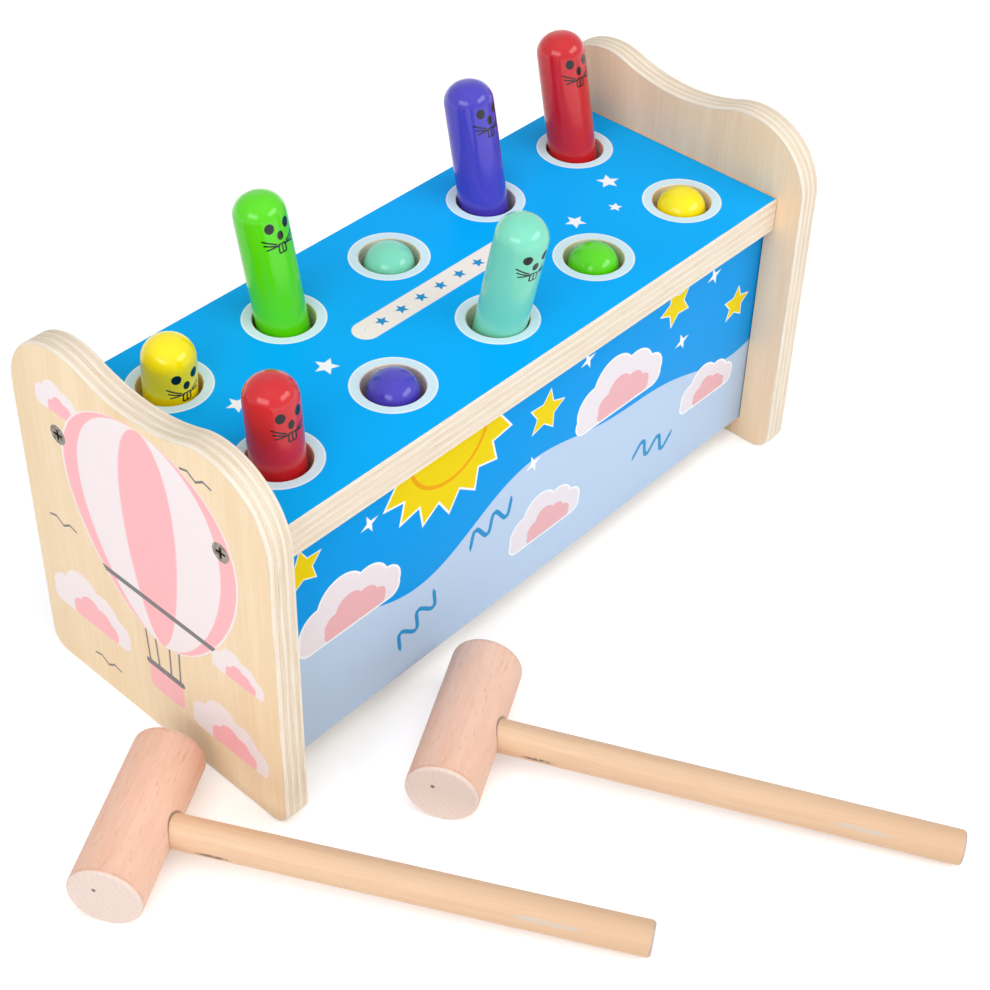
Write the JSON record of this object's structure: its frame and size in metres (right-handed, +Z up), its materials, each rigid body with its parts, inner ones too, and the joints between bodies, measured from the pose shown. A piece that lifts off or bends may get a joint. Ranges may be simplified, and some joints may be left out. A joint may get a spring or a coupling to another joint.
{
  "type": "peg pounding bench",
  "caption": "Wooden toy bench with captive pegs in a printed top board; straps join front and back pegs, so one knocked down lifts its partner. With mallets.",
  "frame": {"origin": "on the floor, at the middle of the box round the bench and its two mallets", "axes": "+X along the bench to the right as seen from its front, +Y towards its back, +Z up"},
  "size_m": [0.3511, 0.2996, 0.1679],
  "materials": {
    "birch_ply": "satin clear-coated plywood with a printed left face",
    "blue_board": "satin printed plywood with bare ply edges",
    "sky_board": "satin printed board",
    "bar_wood": "bare dowel",
    "webbing": "plain woven cotton tape",
    "peg_yellow": "gloss paint",
    "peg_green": "gloss paint",
    "peg_mint": "gloss paint",
    "peg_purple": "gloss paint",
    "peg_red": "gloss paint",
    "zinc_steel": "zinc plated",
    "head_wood": "bare sanded beech",
    "handle_wood": "bare sanded dowel"
  },
  "bodies": {
    "bench": {"left_end_panel": "birch_ply", "right_end_panel": "birch_ply", "top_board": "blue_board", "front_board": "sky_board", "back_board": "sky_board", "strap_bar": "bar_wood", "strap_1": "webbing", "strap_2": "webbing", "strap_3": "webbing", "strap_4": "webbing", "strap_5": "webbing", "left_screws": "zinc_steel", "right_screws": "zinc_steel"},
    "back_yellow_peg": {"back_peg_yellow": "peg_yellow", "back_tack_1": "zinc_steel"},
    "front_red_peg": {"front_peg_red": "peg_red", "front_tack_1": "zinc_steel"},
    "back_green_peg": {"back_peg_green": "peg_green", "back_tack_2": "zinc_steel"},
    "front_purple_peg": {"front_peg_purple": "peg_purple", "front_tack_2": "zinc_steel"},
    "back_mint_peg": {"back_peg_mint": "peg_mint", "back_tack_3": "zinc_steel"},
    "front_mint_peg": {"front_peg_mint": "peg_mint", "front_tack_3": "zinc_steel"},
    "back_purple_peg": {"back_peg_purple": "peg_purple", "back_tack_4": "zinc_steel"},
    "front_green_peg": {"front_peg_green": "peg_green", "front_tack_4": "zinc_steel"},
    "back_red_peg": {"back_peg_red": "peg_red", "back_tack_5": "zinc_steel"},
    "front_yellow_peg": {"front_peg_yellow": "peg_yellow", "front_tack_5": "zinc_steel"},
    "mallet_1": {"mallet_1_head": "head_wood", "mallet_1_handle": "handle_wood"},
    "mallet_2": {"mallet_2_head": "head_wood", "mallet_2_handle": "handle_wood"}
  },
  "joints": [
    {"name": "back_yellow_slide", "type": "slide", "parent": "bench", "child": "back_yellow_peg", "axis": [0, -0.0613, 0.9981], "range_m": [-0.0155, 0.0275], "deforming": ["strap_1"]},
    {"name": "front_red_slide", "type": "slide", "parent": "bench", "child": "front_red_peg", "axis": [0, 0.0613, 0.9981], "range_m": [-0.0275, 0.0155], "deforming": ["strap_1"]},
    {"name": "back_green_slide", "type": "slide", "parent": "bench", "child": "back_green_peg", "axis": [0, 0.2029, 0.9792], "range_m": [-0.043, 0], "deforming": ["strap_2"]},
    {"name": "front_purple_slide", "type": "slide", "parent": "bench", "child": "front_purple_peg", "axis": [0, 0, 1], "range_m": [0, 0.043], "deforming": ["strap_2"]},
    {"name": "back_mint_slide", "type": "slide", "parent": "bench", "child": "back_mint_peg", "axis": [0, 0, 1], "range_m": [0, 0.043], "deforming": ["strap_3"]},
    {"name": "front_mint_slide", "type": "slide", "parent": "bench", "child": "front_mint_peg", "axis": [0, -0.2029, 0.9792], "range_m": [-0.043, 0], "deforming": ["strap_3"]},
    {"name": "back_purple_slide", "type": "slide", "parent": "bench", "child": "back_purple_peg", "axis": [0, 0.2029, 0.9792], "range_m": [-0.043, 0], "deforming": ["strap_4"]},
    {"name": "front_green_slide", "type": "slide", "parent": "bench", "child": "front_green_peg", "axis": [0, 0, 1], "range_m": [0, 0.043], "deforming": ["strap_4"]},
    {"name": "back_red_slide", "type": "slide", "parent": "bench", "child": "back_red_peg", "axis": [0, 0.2029, 0.9792], "range_m": [-0.043, 0], "deforming": ["strap_5"]},
    {"name": "front_yellow_slide", "type": "slide", "parent": "bench", "child": "front_yellow_peg", "axis": [0, 0, 1], "range_m": [0, 0.043], "deforming": ["strap_5"]},
    {"name": "mallet_1_lift", "type": "slide", "parent": "bench", "child": "mallet_1", "axis": [0, 0, 1], "range_m": [0, 0.25]},
    {"name": "mallet_2_lift", "type": "slide", "parent": "bench", "child": "mallet_2", "axis": [0, 0, 1], "range_m": [0, 0.25]}
  ],
  "couplings": [
    {"joint": "front_red_slide", "follows": "back_yellow_slide", "ratio": -1},
    {"joint": "front_purple_slide", "follows": "back_green_slide", "ratio": -1},
    {"joint": "front_mint_slide", "follows": "back_mint_slide", "ratio": -1},
    {"joint": "front_green_slide", "follows": "back_purple_slide", "ratio": -1},
    {"joint": "front_yellow_slide", "follows": "back_red_slide", "ratio": -1}
  ]
}
